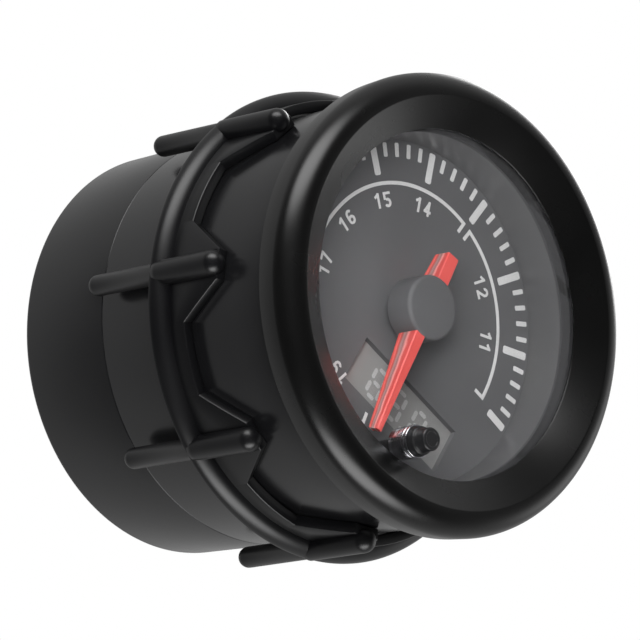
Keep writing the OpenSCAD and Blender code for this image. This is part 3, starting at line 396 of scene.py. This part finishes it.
screwPlaces = [(capScrew["circle"] * math.cos(math.radians(turn)),
                capScrew["circle"] * math.sin(math.radians(turn))) for turn in capScrew["turns"]]
wellHole = boxOutline(well["width"], well["height"], well["corner"])
headHoles = [ringOutline(capScrew["headWell"], capScrew["holeSteps"], at) for at in screwPlaces]
capPlate = flatPiece(
    "capPlate", [ringOutline(cap["wallRadius"] - cap["plateInset"]), wellHole] + headHoles,
    plateFront, cap["length"], cap["edge"])
show(capPlate, "gauge", canPlastic, "can_black")
sleeveOutline = boxOutline(well["width"] + 2 * well["wall"], well["height"] + 2 * well["wall"],
                           well["sleeveCorner"])
wellSleeve = flatPiece("wellSleeve", [sleeveOutline, wellHole], well["floor"] - well["wall"],
                       plateFront + cap["lap"], well["sleeveEdge"])
show(wellSleeve, "gauge", canPlastic, "can_black")
floorOutline = boxOutline(well["width"] + well["floorLap"], well["height"] + well["floorLap"],
                          well["corner"])
socketHole = boxOutline(well["socketWidth"], well["socketHeight"], well["socketCorner"])
wellFloor = flatPiece("wellFloor", [floorOutline, socketHole], well["floor"] - well["wall"],
                      well["floor"], well["floorEdge"])
show(wellFloor, "gauge", canPlastic, "can_black")
for number, at in enumerate(screwPlaces):
    pillar = spun("screwPillar%d" % number, rounded([
        (capScrew["shankHole"], capScrew["pillarFront"], 0),
        (capScrew["pillarRadius"], capScrew["pillarFront"], cap["edge"]),
        (capScrew["pillarRadius"], plateFront + cap["lap"], 0),
        (capScrew["headWell"], plateFront + cap["lap"], 0),
        (capScrew["headWell"], capScrew["seatDepth"], 0),
        (capScrew["shankHole"], capScrew["seatDepth"], 0)]), steps=capScrew["steps"], centre=at)
    show(pillar, "gauge", canPlastic, "can_black")
print("can and rear cap made")

# Bezel, turned section with a quarter-round front and a cone down to the window

bezel = {"boreRadius": 25.66, "boreChamfer": 0.6, "boreEdge": 0.05, "rearRadius": 28.1,
         "rearEdge": 0.18, "sideRadius": 28.3, "bandDepth": -2.58, "arcRadius": 2.807,
         "arcSteps": 24, "crestRadius": 25.25, "crestDepth": -5.387, "crestEdge": 0.35,
         "openingRadius": 21.4, "openingDepth": -3.28, "openingEdge": 0.1, "lipDepth": -3.03,
         "lipEdge": 0.04, "steps": 320}


def bezelProfile():
    rear = rounded([
        (bezel["boreRadius"], -bezel["boreChamfer"], 0),
        (bezel["boreRadius"] + bezel["boreChamfer"], 0, bezel["boreEdge"]),
        (bezel["rearRadius"], 0, bezel["rearEdge"]),
        (bezel["sideRadius"], bezel["bandDepth"], 0),
        (bezel["boreRadius"], bezel["bandDepth"], 0)])[:-2]
    arcMiddle = bezel["sideRadius"] - bezel["arcRadius"]
    arc = [Vector((arcMiddle + out, bezel["bandDepth"] - forwards))
           for out, forwards in quarter(bezel["arcRadius"], bezel["arcSteps"])]
    slope = rounded([
        (arcMiddle, bezel["bandDepth"] - bezel["arcRadius"], 0),
        (bezel["crestRadius"], bezel["crestDepth"], bezel["crestEdge"]),
        (bezel["openingRadius"], bezel["openingDepth"], bezel["openingEdge"]),
        (bezel["openingRadius"], bezel["lipDepth"], bezel["lipEdge"]),
        (bezel["boreRadius"], bezel["lipDepth"], 0)])
    return rear + arc + slope[1:]


bezelRing = spun("bezelRing", bezelProfile(), steps=bezel["steps"], smoothDegrees=30)
show(bezelRing, "gauge", bezelPaint, "bezel_black", "bezel_ring")

# Window with its hole for the button, and the funnel behind it

buttonAt = (4.8, -17.7)
lens = {"radius": 24.4, "front": -3.0, "back": -1.2, "edge": 0.05, "steps": 256,
        "hole": 2.0, "holeSteps": 64}
lensDisc = flatPiece("lensDisc", [ringOutline(lens["radius"], lens["steps"]),
                                  ringOutline(lens["hole"], lens["holeSteps"], buttonAt)],
                     lens["front"], lens["back"], lens["edge"])
show(lensDisc, "gauge", windowAcrylic, "lens_clear", "lens")

funnel = {"frontRadius": 21.4, "frontEdge": 0.12, "backRadius": 21.27, "backEdge": 0.08,
          "front": -0.8, "back": 4.54, "outer": 24.4, "wall": 22.6, "flange": 0.9, "steps": 256}
funnelRing = spun("funnelRing", rounded([
    (funnel["frontRadius"], funnel["front"], funnel["frontEdge"]),
    (funnel["outer"], funnel["front"], 0),
    (funnel["outer"], funnel["front"] + funnel["flange"], 0),
    (funnel["wall"], funnel["front"] + funnel["flange"], 0),
    (funnel["wall"], funnel["back"] - funnel["flange"], 0),
    (funnel["outer"], funnel["back"] - funnel["flange"], 0),
    (funnel["outer"], funnel["back"], 0),
    (funnel["backRadius"], funnel["back"], funnel["backEdge"])]), steps=funnel["steps"])
show(funnelRing, "gauge", funnelPlastic, "funnel_black", "funnel_ring")

# Pointer: blade, tail and hub cap. Degrees and lengths run from the dial's middle.

pointer = {"degrees": 185.0, "top": -0.33, "armStart": 3.0, "hubDepth": 2.84,
           "length": 18.2, "tipDepth": 1.41, "tipWidth": 0.77, "tipTaper": 0.18,
           "tipUndercut": 0.44, "tail": 7.7, "tailDepth": 2.1, "width": 1.88,
           "bevel": 0.16, "bevelShare": 0.7, "steps": 24, "fadeReach": 1.25,
           "redAndPaintedLightLevels": (0.0, 0.3, 0.6, 0.82, 0.95)}
hub = {"radius": 4.03, "top": -0.58, "height": 3.9, "topEdge": 0.55, "baseEdge": 0.1,
       "steps": 128}


def pointerFrame(along, side, depth):
    angle = math.radians(pointer["degrees"])
    x = -along * math.sin(angle) + side * math.cos(angle)
    z = along * math.cos(angle) + side * math.sin(angle)
    return place(x, z, depth)


def armSection(half, bottom):
    top, bevel = pointer["top"], pointer["bevel"]
    oneSide = [(half, bottom), (half, (bottom * 2 + top) / 3), (half, (bottom + top * 2) / 3),
               (half, top + bevel), (half - bevel * pointer["bevelShare"], top)]
    # Each row of the section takes its level on the blade's tones, which hold painted highlights
    # and painted light through the clear sides
    left = [(-side, depth, level)
            for (side, depth), level in zip(oneSide, pointer["redAndPaintedLightLevels"])]
    return left + [(-side, depth, level) for side, depth, level in reversed(left)]


def pointerArm(name, start, end, startWidth, endWidth, startDepth, endDepth, undercut):
    bm = bmesh.new()
    across = bm.verts.layers.float.new("across")
    along = bm.verts.layers.float.new("along")
    rows = []
    for k in range(pointer["steps"] + 1):
        t = k / pointer["steps"]
        half = (startWidth + (endWidth - startWidth) * t) / 2
        bottom = startDepth + (endDepth - startDepth) * t
        reach = start + (end - start) * t
        cut = undercut if k == pointer["steps"] else 0
        row = []
        for side, depth, level in armSection(half, bottom):
            share = (depth - pointer["top"]) / (bottom - pointer["top"])
            out = reach - cut * share * math.copysign(1, end)
            vert = bm.verts.new(pointerFrame(out, side, depth))
            vert[across] = level
            vert[along] = min(1.0, abs(reach) / abs(end) * pointer["fadeReach"])
            row.append(vert)
        rows.append(row)
    wallRows(bm, rows, closed=False)
    bm.faces.new(rows[0])
    bm.faces.new(rows[-1])
    return finishMesh(bm, name, 30)


tipArm = pointerArm("pointerTip", pointer["armStart"], pointer["length"],
                    pointer["width"] - pointer["tipTaper"], pointer["tipWidth"],
                    pointer["hubDepth"], pointer["tipDepth"], pointer["tipUndercut"])
show(tipArm, "pointer", pointerRed, "pointer_red", "pointer_blade", "pointer_foil")
tailArm = pointerArm("pointerTail", -pointer["armStart"], -pointer["tail"],
                     pointer["width"], pointer["width"],
                     pointer["hubDepth"], pointer["tailDepth"], 0.0)
show(tailArm, "pointer", pointerRed, "pointer_red")
hubBase = hub["top"] + hub["height"]
hubCap = spun("hubCap", rounded([
    (0, hub["top"], 0), (0, hubBase, 0), (hub["radius"], hubBase, hub["baseEdge"]),
    (hub["radius"], hub["top"], hub["topEdge"])], 8), steps=hub["steps"])
show(hubCap, "pointer", hubPlastic, "hub_grey", "hub_cap")

# Push button with a dished tip, and its chrome collar with a groove

button = {"front": -6.35, "end": -0.86, "endEdge": 0.05, "bodyRadius": 1.77,
          "shoulderEdge": 0.28, "tipRadius": 1.43, "tipLength": 1.5, "tipEdge": 0.26,
          "footFlare": 0.12, "footSink": 0.02, "footLength": 0.2,
          "dishDepth": 0.06, "dishInset": 0.45, "dishEdge": 0.1, "dishSlope": 0.07, "steps": 96}
collar = {"radius": 2.05, "bore": 1.83, "tube": 1.97, "height": 0.9, "back": -0.8,
          "frontEdges": (0.04, 0.1), "groove": (0.45, 0.4, 0.3, 0.25),
          "grooveEdges": (0.08, 0.06), "steps": 96}

tipFoot = button["front"] + button["tipLength"]
dishRadius = button["tipRadius"] - button["dishInset"]
buttonCap = spun("buttonCap", rounded([
    (0, button["front"] + button["dishDepth"], 0),
    (0, button["end"], 0),
    (button["bodyRadius"], button["end"], button["endEdge"]),
    (button["bodyRadius"], tipFoot, button["shoulderEdge"]),
    (button["tipRadius"] + button["footFlare"], tipFoot - button["footSink"], 0),
    (button["tipRadius"], tipFoot - button["footLength"], 0),
    (button["tipRadius"], button["front"], button["tipEdge"]),
    (dishRadius, button["front"], button["dishEdge"]),
    (dishRadius - button["dishSlope"], button["front"] + button["dishDepth"], 0)]),
    steps=button["steps"], centre=buttonAt)
show(buttonCap, "button", buttonPlastic, "button_black", "button_cap")

collarFront = lens["front"] - collar["height"]
innerEdge, outerEdge = collar["frontEdges"]
grooveStart, floorStart, floorEnd, grooveEnd = (lens["front"] - g for g in collar["groove"])
startEdge, endEdge = collar["grooveEdges"]
buttonCollar = spun("buttonCollar", rounded([
    (collar["bore"], collarFront, innerEdge),
    (collar["radius"], collarFront, outerEdge),
    (collar["radius"], grooveStart, startEdge),
    (collar["tube"], floorStart, 0),
    (collar["tube"], floorEnd, 0),
    (collar["radius"], grooveEnd, endEdge),
    (collar["radius"], lens["front"], 0),
    (collar["tube"], lens["front"], 0),
    (collar["tube"], collar["back"], 0),
    (collar["bore"], collar["back"], 0)]), steps=collar["steps"], centre=buttonAt)
show(buttonCollar, "gauge", collarChrome, "chrome", "button_collar")
print("front made")

# Clamp ring: crown sleeve, flange bead and eight rods

ring = {"boreRadius": 26.26, "flangeDepth": 18.3}
crown = {"radius": 27.58, "valleyDepth": 14.0, "valleyHalf": 4.45, "peakDepth": 8.0,
         "peakHalf": 8.95, "bevel": 0.14, "cornerTurn": 0.12}
bead = {"outerRadius": 29.3, "radius": 2.0, "arcSteps": 16, "arcStart": -4,
        "rearEdge": ((0.14, 0.0), (0.03, 0.05)), "arcGap": 0.12, "steps": 256}
rods = {"count": 8, "start": 27.45, "circle": 27.965, "front": 6.95, "rear": 30.3,
        "radius": 1.55, "rearRadius": 1.32, "jointGap": 0.4, "jointBand": 0.6,
        "jointSlope": 0.3, "endSteps": 12, "steps": 48}
rodSpacing = 360 / rods["count"]


# Depth of the crown's front edge: valleys midway between the rods, peaks at them
def crownEdge(degrees):
    off = (degrees - rods["start"]) % rodSpacing - rodSpacing / 2
    side = abs(math.radians(off)) * crown["radius"]
    share = (side - crown["valleyHalf"]) / (crown["peakHalf"] - crown["valleyHalf"])
    share = max(0.0, min(1.0, share))
    return crown["valleyDepth"] + (crown["peakDepth"] - crown["valleyDepth"]) * share


# A row for each degree, and three close ones at each corner of the front edge
def crownTurns():
    corners = [math.degrees(half / crown["radius"])
               for half in (crown["valleyHalf"], crown["peakHalf"])]
    turns = set()
    for i in range(rods["count"]):
        middle = rods["start"] + rodSpacing * (i + 0.5)
        for k in range(-22, 23):
            turns.add(round(middle + k, 4))
        for corner in corners:
            for nudge in (-crown["cornerTurn"], 0.0, crown["cornerTurn"]):
                turns.add(round(middle + corner + nudge, 4))
                turns.add(round(middle - corner + nudge, 4))
    return sorted(turns)


def crownSleeve():
    bm = bmesh.new()
    inner, outer, rear = ring["boreRadius"], crown["radius"], ring["flangeDepth"]
    bevel = crown["bevel"]
    rows = []
    for degrees in crownTurns():
        edge = crownEdge(degrees)
        section = [
            (inner, rear), (inner, edge + bevel * 0.5), (inner + bevel * 0.5, edge),
            (outer - bevel, edge), (outer - bevel * 0.3, edge + bevel * 0.3),
            (outer, edge + bevel), (outer, (edge + rear) / 2), (outer, rear)]
        rows.append([bm.verts.new(place(*onCircle(r, degrees), d)) for r, d in section])
    wallRows(bm, rows, closed=True)
    return finishMesh(bm, "crownSleeve", 50)


crownPiece = crownSleeve()
show(crownPiece, "clamp", ringPlastic, "ring_black", "clamp_ring")


def beadProfile():
    arcMiddle = bead["outerRadius"] - bead["radius"]
    rear = ring["flangeDepth"]
    arc = [Vector((arcMiddle + out, rear - forwards))
           for out, forwards in quarter(bead["radius"], bead["arcSteps"], bead["arcStart"])]
    edge = [Vector((bead["outerRadius"] - inset, rear - lift)) for inset, lift in bead["rearEdge"]]
    return ([Vector((ring["boreRadius"], rear))] + edge
            + [point for point in arc if point.y < rear - bead["arcGap"]]
            + [Vector((ring["boreRadius"], rear - bead["radius"]))])


beadPiece = spun("flangeBead", beadProfile(), steps=bead["steps"])
show(beadPiece, "clamp", ringPlastic, "ring_black")


def rodProfile():
    big, small, steps = rods["radius"], rods["rearRadius"], rods["endSteps"]
    joint = ring["flangeDepth"] - rods["jointGap"]
    nose = [(out, rods["front"] + big - along) for along, out in quarter(big, steps)]
    waist = [(big, joint - rods["jointBand"]), (big, joint),
             (small, joint + rods["jointSlope"])]
    end = [(out, rods["rear"] - small + along) for along, out in reversed(quarter(small, steps))]
    return nose + waist + end


for i in range(rods["count"]):
    at = onCircle(rods["circle"], rods["start"] + 360 * i / rods["count"])
    rod = spun("clampRod%d" % i, rodProfile(), rods["steps"], 50, at, closed=False)
    show(rod, "clamp", ringPlastic, "ring_black")
print("clamp ring made")

# CAD nodes that are shown as they are

keptNodes = {
    "cap_screws": screwSteel, "lens_gasket": gasketRubber, "dial_plate": dialPrint,
    "scale_marks": whitePrint, "zone_lines": whitePrint, "numerals": whitePrint,
    "light_guide": guideAcrylic, "backlight_lamps": lampResin, "display_glass": displayFilm,
    "display_segments": segmentInk, "display_backlight": whitePlastic,
    "display_strip": gasketRubber, "main_board": boardMask, "main_board_screws": screwSteel,
    "motor_front": innerPlastic, "motor_back": innerPlastic, "stator": screwSteel,
    "coils": coilCopper, "motor_pins": contactBrass, "rotor_magnet": magnetFerrite,
    "rotor_pinion": whitePlastic, "middle_wheel": whitePlastic, "output_wheel": whitePlastic,
    "button_stem": innerPlastic, "switch_case": innerPlastic, "switch_plunger": whitePlastic,
    "control_board": boardMask, "control_board_screws": screwSteel, "link_blocks": innerPlastic,
    "link_pins": contactBrass, "chips": innerPlastic, "capacitors": capacitorAluminium,
    "connector_block": innerPlastic, "connector_pins": contactBrass}
for name, material in keptNodes.items():
    nodes[name].data.materials.clear()
    nodes[name].data.materials.append(material)
print("carried-over nodes painted")

# Camera, fitted to the photo. From here on lengths are in metres.

view = {"place": (-0.32311, -0.48674, -0.36368), "right": (0.60723, -0.68123, 0.40890),
        "up": (-0.64837, -0.12741, 0.75059), "forward": (0.45922, 0.72090, 0.51906),
        "lens": 320.51, "sensor": 36.0, "near": 0.05, "far": 20.0}

cameraData = bpy.data.cameras.new("photoCamera")
cameraData.lens = view["lens"]
cameraData.sensor_width = view["sensor"]
cameraData.clip_start = view["near"]
cameraData.clip_end = view["far"]
camera = bpy.data.objects.new("photoCamera", cameraData)
bpy.context.scene.collection.objects.link(camera)
right, up, forward = (Vector(view[k]).normalized() for k in ("right", "up", "forward"))
cameraTurn = Matrix((right, up, -forward)).transposed().to_4x4()
camera.matrix_world = Matrix.Translation(Vector(view["place"])) @ cameraTurn
bpy.context.scene.camera = camera
bpy.context.scene.view_settings.view_transform = "Standard"

# Floor of pale paper, seen from above only, because the photo looks up from below it

paper = {"tones": ("#f4f4f4", "#f8f8f8"), "mottle": 3.0, "size": 3.0, "height": -0.0297}


def studioFloor():
    material = newMaterial("studioFloor")
    around = addNode(material, "ShaderNodeTexCoord").outputs["Object"]
    mottle = addNode(material, "ShaderNodeTexNoise", {"Scale": paper["mottle"]},
                     {"Vector": around}).outputs["Fac"]
    grey, pale = paper["tones"]
    tone = ramp(material, mottle, [(0.3, colour(grey)), (0.7, colour(pale))])
    matt = addNode(material, "ShaderNodeBsdfDiffuse", links={"Color": tone})
    unseen = addNode(material, "ShaderNodeBsdfTransparent")
    back = addNode(material, "ShaderNodeNewGeometry").outputs["Backfacing"]
    mix = addNode(material, "ShaderNodeMixShader", links={
        0: back, 1: matt.outputs["BSDF"], 2: unseen.outputs["BSDF"]})
    setSurface(material, mix.outputs["Shader"])
    bm = bmesh.new()
    bmesh.ops.create_grid(bm, x_segments=2, y_segments=2, size=paper["size"])
    bmesh.ops.translate(bm, verts=bm.verts, vec=(0, 0, paper["height"]))
    mesh = bpy.data.meshes.new("studioFloor")
    bm.to_mesh(mesh)
    bm.free()
    floor = bpy.data.objects.new("studioFloor", mesh)
    floor.data.materials.append(material)
    bpy.context.scene.collection.objects.link(floor)
    floor.visible_diffuse = False
    floor.visible_glossy = False
    floor.visible_shadow = False  # throws none on the gauge, and still shows the gauge's own


studioFloor()

# World: white to the camera, for the gauge dark on the camera's side and paler behind it

surroundings = {"cameraSide": 0.04, "beside": 0.16, "behind": 0.46}


def studioWorld():
    world = bpy.data.worlds.new("studioWorld")
    world.use_nodes = True
    world.node_tree.nodes.clear()
    bpy.context.scene.world = world
    around = addNode(world, "ShaderNodeTexCoord").outputs["Generated"]
    behind = addNode(world, "ShaderNodeVectorMath", {1: forward}, {0: around},
                     operation="DOT_PRODUCT").outputs["Value"]
    lift = addNode(world, "ShaderNodeMapRange", {"From Min": -1.0, "From Max": 1.0},
                   {"Value": behind}).outputs["Result"]
    dark, side, pale = (surroundings[k] for k in ("cameraSide", "beside", "behind"))
    level = ramp(world, lift, [
        (0.3, (dark, dark, dark, 1)), (0.45, (side / 2, side / 2, side / 2, 1)),
        (0.5, (side, side, side, 1)), (0.65, (pale, pale, pale, 1))])
    felt = addNode(world, "ShaderNodeBackground", links={"Color": level})
    seen = addNode(world, "ShaderNodeBackground", {"Color": (1, 1, 1, 1)})
    rays = addNode(world, "ShaderNodeLightPath")
    mix = addNode(world, "ShaderNodeMixShader", links={
        0: rays.outputs["Is Camera Ray"], 1: felt.outputs[0], 2: seen.outputs[0]})
    addNode(world, "ShaderNodeOutputWorld", links={"Surface": mix.outputs[0]})


studioWorld()

# Lamps stand round the gauge, placed as (sideways, upwards, towards the camera), and are soft
# towards their rims. The dial's own lamp isn't mirrored by the window.

gaugeMiddle = Vector((0, 0.018, 0))
lampFade = {"rim": 0.5, "core": 0.2, "coreLevel": 1.6}
lamps = {
    "upperBox": {"towards": (-0.02, 0.84, 0.42), "away": 0.75, "size": (1.25, 0.66),
                 "brightness": 3.4, "mirrored": True},
    "lowerBox": {"towards": (0.14, -0.84, 0.48), "away": 0.75, "size": (1.28, 0.62),
                 "brightness": 3.3, "mirrored": True},
    "rearBox": {"towards": (0.45, 0.29, -0.85), "away": 0.8, "size": (0.7, 0.55),
                "brightness": 3.6, "mirrored": True},
    "sideBox": {"towards": (0.83, -0.26, -0.49), "away": 0.8, "size": (0.6, 0.6),
                "brightness": 0.4, "mirrored": True},
    "dialFill": {"towards": (-0.05, 0.22, 0.97), "away": 0.17, "size": (0.15, 0.15),
                 "brightness": 11.0, "mirrored": False}}


def softLamp(name, setting):
    width, height = setting["size"]
    data = bpy.data.lights.new(name, "AREA")
    data.shape = "RECTANGLE"
    data.size, data.size_y = width, height
    data.energy = setting["brightness"] * math.pi * width * height
    data.use_nodes = True
    data.node_tree.nodes.clear()
    spot = addNode(data, "ShaderNodeNewGeometry").outputs["Parametric"]
    fromMiddle = addNode(data, "ShaderNodeVectorMath", {1: (0.5, 0.5, 0.0)}, {0: spot},
                         operation="DISTANCE").outputs["Value"]
    fall = addNode(data, "ShaderNodeMapRange",
                   {"From Min": lampFade["rim"], "From Max": lampFade["core"],
                    "To Min": 0.0, "To Max": lampFade["coreLevel"]},
                   {"Value": fromMiddle}, interpolation_type="SMOOTHSTEP").outputs["Result"]
    glow = addNode(data, "ShaderNodeEmission", links={"Strength": fall})
    addNode(data, "ShaderNodeOutputLight", links={"Surface": glow.outputs[0]})
    sideways, upwards, towards = setting["towards"]
    direction = (right * sideways + up * upwards - forward * towards).normalized()
    across = (right - direction * right.dot(direction)).normalized()
    turned = Matrix((across, direction.cross(across), direction)).transposed().to_4x4()
    lamp = bpy.data.objects.new(name, data)
    lamp.matrix_world = Matrix.Translation(gaugeMiddle + direction * setting["away"]) @ turned
    lamp.visible_camera = False
    lamp.visible_glossy = setting["mirrored"]
    bpy.context.scene.collection.objects.link(lamp)


for name, setting in lamps.items():
    softLamp(name, setting)
print("stage made")
